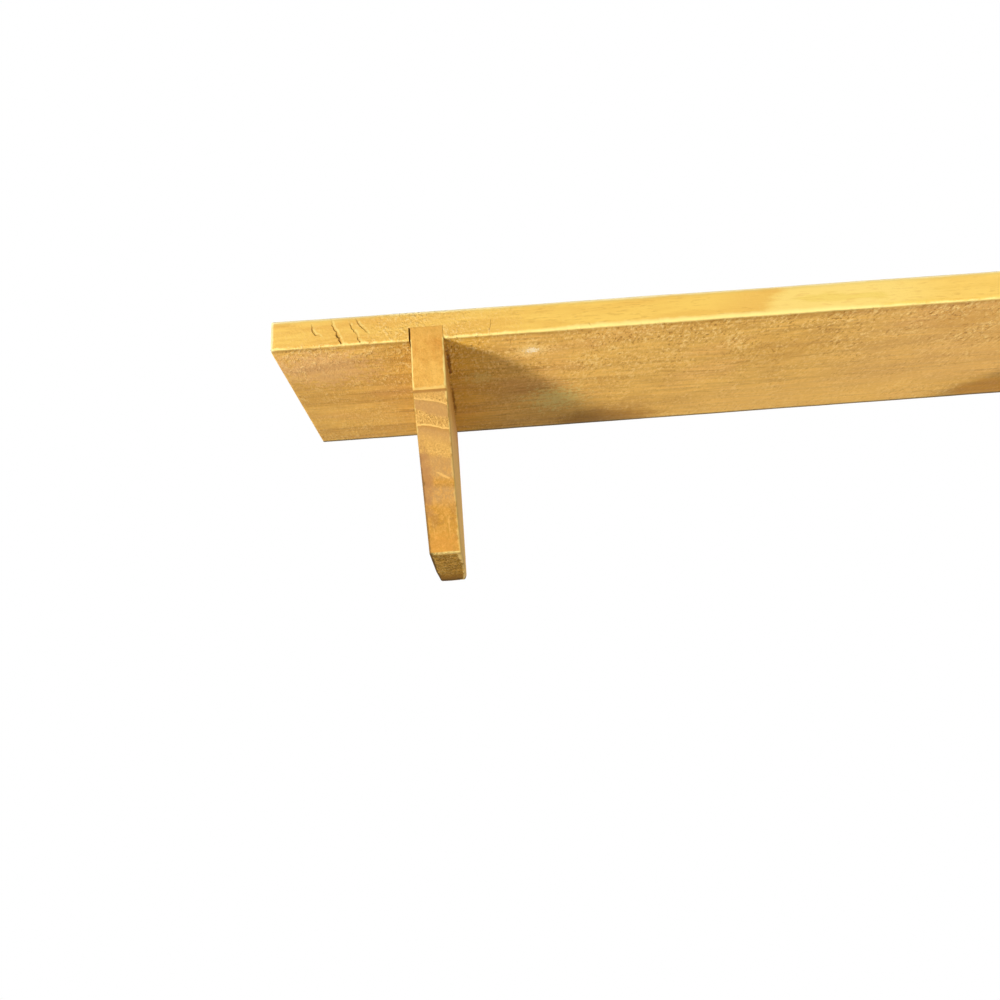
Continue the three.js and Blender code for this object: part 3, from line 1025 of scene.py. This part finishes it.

# %% Board: wear, dirt and painted light
band_width = wear_radius + span(from_left, 64, 92, 0.02, 0.70) - span(from_left, 164, 190, 0, 1.05)
band_line = ragged_arris_line(own_place, above_under, band_width, span(from_left, 60, 80, 1.5, 0.9))
# Painted shadow: a brown band on the underside just behind the lower front arris.
arris_shadow_line = span(from_front, 0.4, 0.7) * span(from_front, 3.2, 1.2) * below
broken = span(hills(own_place, 900), 0.36, 0.56)
# Painted highlight: a pale lip right of each crack, where its shallow wall would catch the light.
painted_lips = span(crack_side, 0.10, 0.30) * span(crack_side, 0.95, 0.45) * on_front * broken
# Painted shade on the left of each crack, where its steep wall lies.
painted_crack_shade = span(crack_side, -0.45, -0.10) * span(crack_side, 0.25, 0.05) * on_front
wood = layered(
    wood,
    (ragged_arris_line(own_place, arris, 0.60, 1.6) * span(from_front, 4, 2, 0.15, 1) * 0.75, pale_wear_and_highlight),
    (band_line * on_front * span(from_left, 66, 86, 0.70, 0.88), pale_wear_and_highlight),
    # Painted glow along the top front arris: a cream line with an ochre band beneath it.
    (ragged_arris_line(own_place, below_top, 1.95, 1.0) * on_front * 0.45, top_ochre),
    (ragged_arris_line(own_place, below_top, 1.20, 0.5) * on_front * 0.90, cream_wear_and_glow),
    # Worn pale varnish with a painted glow on the left end's front arris.
    (ragged_arris_line(own_place, from_left, 1.3) * on_front * 0.90, cream_wear_and_glow),
    (arris_shadow_line * span(clouds, 0, 1, 0.26, 0.42), shade_brown),
    # Painted shade: a dark line along the underside's rear arris.
    (below * span(from_front, 66, 66.8) * 0.88, shade_line),
    (span(depth, 0.35, 0.7), raw_wood),
    (painted_lips * 0.60, pale_wear_and_highlight),
    (painted_crack_shade * 0.20, shade_brown),
    (span(in_crack, 0.25, 1, 0, 0.92), crack_dirt),
)
relief = lines["Streaks"] * 0.10 + lines["Dashes"] * 0.12 + dusty["Height"] * speck_share * 5.6
coat(shader, wood, span(lines["Streaks"], 0, 1, 0.50, 0.64), relief, strength=0.9, height=0.12)
print("board finish nodes:", len(board_finish.node_tree.nodes))

# %% [markdown]
# ## The brackets' finish
# The grain stands upright, so the growth rings are sheets parallel to the front face. The bevel cuts
# across them and shows them as bands: the soft wood tears pale and rough, the hard wood stays tan and
# smooth, and a pale line marks where one ends. The table gives the bands by depth from the front, each
# with how torn it is. The ring sheets lean, so the bands run askew, and on the right bracket they lie a
# little deeper. The foot is end grain, which soaks up varnish and stays dark.

# %% Brackets: colours
ring_light = colour(203, 155, 79)
ring_tan = colour(184, 138, 78)
ring_line = colour(244, 196, 110)
ring_warm = colour(212, 154, 70)
ring_brown = colour(158, 110, 50)
ring_orange = colour(186, 132, 49)
ring_arch = colour(172, 122, 56)
ring_rose = colour(168, 118, 70)
nose_orange = colour(216, 148, 60)
nose_honey = colour(242, 188, 91)
head_honey = colour(226, 171, 80)
side_tan = colour(212, 171, 84)
side_brown_and_shade = colour(168, 112, 36)
side_olive = colour(142, 118, 46)
foot_brown = colour(208, 154, 58)
foot_dark = colour(110, 70, 12)
foot_pale = colour(252, 214, 128)
foot_rubbed = colour(152, 104, 36)
edge_dirt_and_shade = colour(98, 72, 34)

# %% Brackets: growth bands
growth_bands = [  # millimetres from the front, colour, how torn
    (0.0, ring_tan, 0.3), (0.9, ring_light, 0.4), (1.85, ring_light, 0.8), (1.98, ring_line, 0.6),
    (2.10, ring_line, 0.2), (2.22, ring_brown, 0.1), (2.5, ring_tan, 0.0), (4.1, ring_tan, 0.0),
    (4.5, ring_light, 1.0), (5.3, ring_light, 0.7), (6.35, ring_light, 0.9), (6.5, ring_line, 0.5),
    (6.65, ring_line, 0.2), (6.8, ring_arch, 0.0), (7.6, ring_tan, 0.0), (9.5, ring_light, 0.3),
    (11.4, ring_light, 0.8), (11.8, ring_tan, 0.1), (14.9, ring_tan, 0.1), (16.4, ring_orange, 0.2),
    (17.1, ring_arch, 0.2), (17.7, ring_tan, 0.1), (20.0, ring_tan, 0.1), (21.5, ring_orange, 0.1),
    (30.0, ring_orange, 0.1), (36.0, ring_tan, 0.1), (44.0, ring_light, 0.2), (52.0, ring_tan, 0.1),
    (60.0, ring_orange, 0.2),
]
last_depth = 68.0
print("growth bands:", len(growth_bands), "to a depth of", growth_bands[-1][0], "mm")


def band_ramp(place, paints):
    """A ramp through colours at the band table's depths."""
    ramp = add(place.tree, "ShaderNodeValToRGB", {0: place / last_depth})
    stops = ramp.color_ramp.elements
    for i, ((at, _, _), paint) in enumerate(zip(growth_bands, paints)):
        stop = stops.new(at / last_depth) if i else stops[0]
        stop.color = paint
    stops[len(growth_bands)].color = paint
    return Wire(ramp.outputs["Color"])

# %% Brackets: places and patterns
bracket_finish, shader, own_place = new_finish("honey_varnished_bracket", {"Specular IOR Level": 0.12})
arris, depth = stored(own_place, "arris"), stored(own_place, "depth")
axes = separated(own_place)
upright = wire(own_place.tree, "ShaderNodeCombineXYZ", {"X": axes["Z"], "Y": axes["Y"], "Z": axes["X"]})
lines = use(grain, upright, waver=0.0018, bands_per_metre=220, streaks_per_metre=900)
dusty = use(specks, own_place, per_metre=2000, patches=0.4)

bracket_low, bracket_high = node_box("right_bracket")
bracket_middle = (bracket_low[0] + bracket_high[0]) / 2
foot_level = z_under - bracket_low[2]
outwards = abs(axes["X"]) / millimetre - bracket_middle
from_front = axes["Y"] / millimetre - y_front
below_board = float(z_under) - axes["Z"] / millimetre

# %% Brackets: rings on the bevel
bend = (hills(own_place, 120) - 0.5) * 2.4
ragged = (hills(own_place, 700) - 0.5) * 0.35
deeper = calculated("GREATER_THAN", axes["X"], 0.0) * 1.6
ring_place = from_front + (outwards * 0.14 + (bend + ragged)) + deeper
ring_colours = band_ramp(ring_place, [paint for _, paint, _ in growth_bands])
torn_greys = band_ramp(ring_place, [(torn, torn, torn, 1) for _, _, torn in growth_bands])
torn = wire(own_place.tree, "ShaderNodeSeparateColor", {0: torn_greys})

# %% Brackets: nose, bevel and sides
on_nose = span(below_board, nose_height + 0.4, nose_height) * span(from_front, 0.9, 0.3)
under_nose = span(below_board, nose_height, nose_height + 0.4)
on_side = span(abs(outwards), 4.50, 4.70)
on_foot = span(below_board, foot_level - 0.60, foot_level - 0.35)
in_slot = span(below_board, -0.6, 0.2)
mottle = span(hills(own_place, 230, 3, 0.6), 0.34, 0.66)
grit = span(hills(own_place, 950, 3, 0.7), 0.34, 0.66)
nose_wood = layered(
    nose_orange,
    (grit * 0.26 + mottle * 0.50 + span(below_board, 1, 9, 0, 0.26), nose_honey),
    (span(below_board + mottle * 1.6, 1.2, -1.6) * 0.70, head_honey),
)
streaky = span(lines["Streaks"] * 0.5 + grit * 0.5, 0.30, 0.75)
low_grime = span(mottle, 0.55, 0) * span(from_front, 18, 23) * span(from_front, 29, 25, 0.4, 1)
side_lines = span(lines["Streaks"], 0.5, 0) * span(on_side, 0, 1, 0.06, 0.30)
side_shade = on_side * span(arris, 14, 2) * span(from_front, 62, 48) * under_nose
# Painted shade: a dark brown line along the crease where the bevel meets the nose, over the step there.
crease_shade = span(below_board, nose_height - 0.10, nose_height + 0.15) * span(from_front, 0.95, 0.60)
roughened = torn * under_nose + span(on_nose, 0, 1, 0.14, 0.28)
wood = layered(
    ring_colours,
    (streaky * span(from_front, 9, 18, 0.12, 0.50), ring_warm),
    (low_grime * 0.55, ring_brown),
    (on_nose, nose_wood),
    (on_side * span(lines["Bands"], 0, 1, 0.55, 0.95), side_tan),
    (side_lines, side_brown_and_shade),
    # Painted shade: the bracket's side darker towards the board, where less light reaches it.
    (on_side * span(below_board, 26, 2) * span(mottle, 0, 1, 0.55, 0.95), side_brown_and_shade),
    (side_shade * 0.42, side_olive),
    (span(lines["Dashes"], 0.5, 1) * 0.05, dust),
    (dusty["Pale"] * roughened * 0.75, ring_line),
    (dusty["Dark"] * roughened * 0.80, ring_brown),
    (crease_shade * 0.82, ring_brown),
)

# %% Brackets: scars
unlimited = 1e6
scars = [  # middle, half widths, slant, strength, colour
    ((1.6, 15.3), (2.6, 0.36), 0.38, 0.46, ring_line),
    ((2.0, 24.5), (0.35, 2.8), 0.0, 0.22, ring_line),
    ((-2.6, 26.0), (0.30, 2.4), 0.0, 0.16, ring_line),
    ((-4.2, 16.0), (3.4, 8.0), 0.0, 0.72, ring_rose),
    ((-1.0, 28.5), (7.0, 3.2), 0.0, 0.40, nose_orange),
]
for (across, behind), (half_x, half_y), slant, strength, paint in scars:
    centre, halves = (across - bracket_middle, y_front + behind, 0), (half_x, half_y, unlimited)
    wood = smudged(wood, own_place, centre, halves, under_nose * strength, paint, slant=slant, ragged=1.4)
print("scars laid:", len(scars))

# %% Brackets: foot
pitted = span(hills(stretched(own_place, 0.6, 1, 1), 2000, 3, 0.65), 0.38, 0.60)
foot_rows = span(hills(own_place, (160, 420, 60)), 0.40, 0.60)
foot_fringe = ragged_arris_line(own_place, arris, 1.0, 2.4) * span(outwards, 3, 2)
foot_wood = layered(
    foot_dark,
    (pitted * 0.70 + foot_rows * 0.30, foot_brown),
    (dusty["Pale"] * 0.5, foot_pale),
    (span(from_front, 55, 61, 0, 0.80), foot_rubbed),
    # Painted shade: a dark strip along the foot's rear, where its rounding lies in shadow.
    (span(from_front, 61.5, 67.4, 0, 0.90), edge_dirt_and_shade),
    (foot_fringe * span(from_front, 31, 34, 0.45, 0.90), foot_pale),
)

# %% Brackets: wear, dirt and painted shade
toe_line = span(below_board, foot_level - 0.62, foot_level - 0.40) * span(from_front, 30.8, 30.3)
outer_edge = span(outwards, 3.2, 4.2)
outer_front = span(outer_edge * span(from_front, 6, 11), 0, 1, 1, 0)
inner_thin = span(from_front, 3, 14, 0.92, 0.42) * span(from_front, 22, 26, 1, 1.6)
nose_end = span(below_board, nose_height - 1.1, nose_height - 0.5, 1, 0.45)
worn_share = ragged_arris_line(own_place, arris, span(on_nose, 0, 1, 0.38, 0.66), span(on_nose, 0, 1, 1.9, 0.9))
no_crease = span(crease_shade, 0.3, 0)
for limit in (span(from_front, 62, 30), no_crease, outer_front, inner_thin, nose_end, in_slot):
    worn_share = worn_share * limit
outer_line = ragged_arris_line(own_place, arris, span(on_foot, 0, 1, 0.8, 1.2), 1.6)
dirty_edge = outer_edge * outer_line * span(from_front, 9, 15, 0, 0.62) * span(on_foot, 0, 1, 1, 1.5)
# Painted shade: a dark line along the bracket's rear arrises.
rear_line = span(arris, 1.3, 0.5) * span(from_front, 64, 66.5) * in_slot
wood = layered(
    wood,
    (on_foot, foot_wood),
    (toe_line * span(grit, 0.15, 0.85, 0.10, 0.85), pale_wear_and_highlight),
    (worn_share * span(on_foot, 0, 1, 1, 0.15), pale_wear_and_highlight),
    (dirty_edge * under_nose * span(from_front, 8, 12), edge_dirt_and_shade),
    (rear_line * 0.60, shade_line),
    (span(depth, 0.5, 0.8), raw_wood),
)
relief = lines["Streaks"] * 0.10 + (dusty["Height"] * roughened * 5 + pitted * on_foot * 2.5)
dull = span(calculated("MAXIMUM", on_foot, on_side), 0, 1, 0.60, 0.95)
coat(shader, wood, dull, relief, strength=0.9, height=0.12)
print("bracket finish nodes:", len(bracket_finish.node_tree.nodes))

# %% Dress the wood
sharp_angle = radians(38)


def finish_piece(piece, material, nodes):
    """Gives a piece its finish, smooth faces with sharp cut edges, its nodes and its body."""
    piece.data.materials.clear()
    piece.data.materials.append(material)
    piece.data.shade_smooth()
    piece.data.set_sharp_from_angle(angle=sharp_angle)
    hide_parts(*nodes)
    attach(piece, "root")
    print(piece.name, "wears", material.name)


finish_piece(shelf_board, board_finish, ["shelf_board"])
for side, piece in bracket_wood.items():
    finish_piece(piece, bracket_finish, [f"{side}_bracket"])

# %% [markdown]
# ## Brads and tacks
# A finishing brad is drawn wire with a small cupped head, which takes the point of a nail punch. A tack
# has a thin flat head, a little domed. Both are turned shapes, so each is a profile swept round its axis
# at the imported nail's own place. Brads are set a hair below the top of the board.

# %% Brads and tacks
nail_profiles = {
    "brad": [
        (0.02, -25.0), (0.30, -24.2), (0.65, -23.2), (0.65, -12.0), (0.65, -1.1), (0.80, -0.95),
        (1.15, -0.75), (1.15, -0.12), (1.05, -0.01), (0.50, 0.0), (0.34, -0.14), (0.02, -0.20),
    ],
    "tack": [
        (0.02, -9.0), (0.28, -8.4), (0.60, -7.8), (0.60, -4.0), (0.60, -0.5), (1.50, -0.44),
        (1.60, -0.32), (1.55, -0.20), (1.25, -0.07), (0.70, -0.01), (0.02, 0.0),
    ],
}
steel_light = colour(158, 154, 147)
steel_dark = colour(96, 92, 86)
nail_finish, shader, own_place = new_finish("dull_bright_steel", {"Metallic": 1.0})
cloudy = span(hills(own_place, 900, 3, 0.6), 0.35, 0.65)
drawn_lines = hills(own_place, (2500, 2500, 120))
steel = tint(cloudy, steel_dark, steel_light)
coat(shader, steel, span(cloudy, 0, 1, 0.50, 0.32), drawn_lines, strength=0.3, height=0.02)

for name in nails:
    place, axis, _, _ = nail_facts(name)
    nail = turned(f"{name}_steel", nail_profiles[name[-4:]], place, axis)
    finish_piece(nail, nail_finish, [name])
print("nails dressed:", len(nails))

# %% [markdown]
# ## The toothed hangers
# A hanger is pressed from thin sheet, so its outline is crisp but no edge is truly sharp. The packed
# shape is already right. It is merged into one surface and given a tiny bevel, which is what catches the
# light. The zinc plate has yellowed in soft clouds.

# %% Hangers
plate_bevel = 0.12
merge_distance = 0.00001
flat_angle, bevel_angle = radians(2), radians(40)

zinc_light = colour(196, 190, 166)
zinc_dark = colour(158, 148, 118)
hanger_finish, shader, own_place = new_finish("yellowed_zinc_plate", {"Metallic": 1.0})
clouded = span(hills(own_place, 140, 4, 0.6), 0.34, 0.66)
spotted = span(hills(own_place, 1400), 0.56, 0.70, 0, 0.5)
rolled_lines = hills(own_place, (60, 1800, 1800))
zinc = layered(zinc_dark, (clouded, zinc_light), (spotted, steel_dark))
coat(shader, zinc, span(clouded, 0, 1, 0.46, 0.30), rolled_lines, strength=0.3, height=0.03)

for side in sides:
    name = f"{side}_hanger"
    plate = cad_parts[name].data.copy()
    shape = bmesh.new()
    shape.from_mesh(plate)
    bmesh.ops.remove_doubles(shape, verts=shape.verts, dist=merge_distance)
    bmesh.ops.dissolve_limit(shape, angle_limit=flat_angle, verts=shape.verts, edges=shape.edges)
    bmesh.ops.recalc_face_normals(shape, faces=shape.faces)
    shape.to_mesh(plate)
    shape.free()
    hanger = bpy.data.objects.new(f"{name}_plate", plate)
    scene.collection.objects.link(hanger)
    softened = hanger.modifiers.new("pressed edge", "BEVEL")
    softened.width = plate_bevel * millimetre
    softened.segments = 2
    softened.limit_method = "ANGLE"
    softened.angle_limit = bevel_angle
    finish_piece(hanger, hanger_finish, [name])
    print(name, "faces before the bevel:", len(plate.polygons))
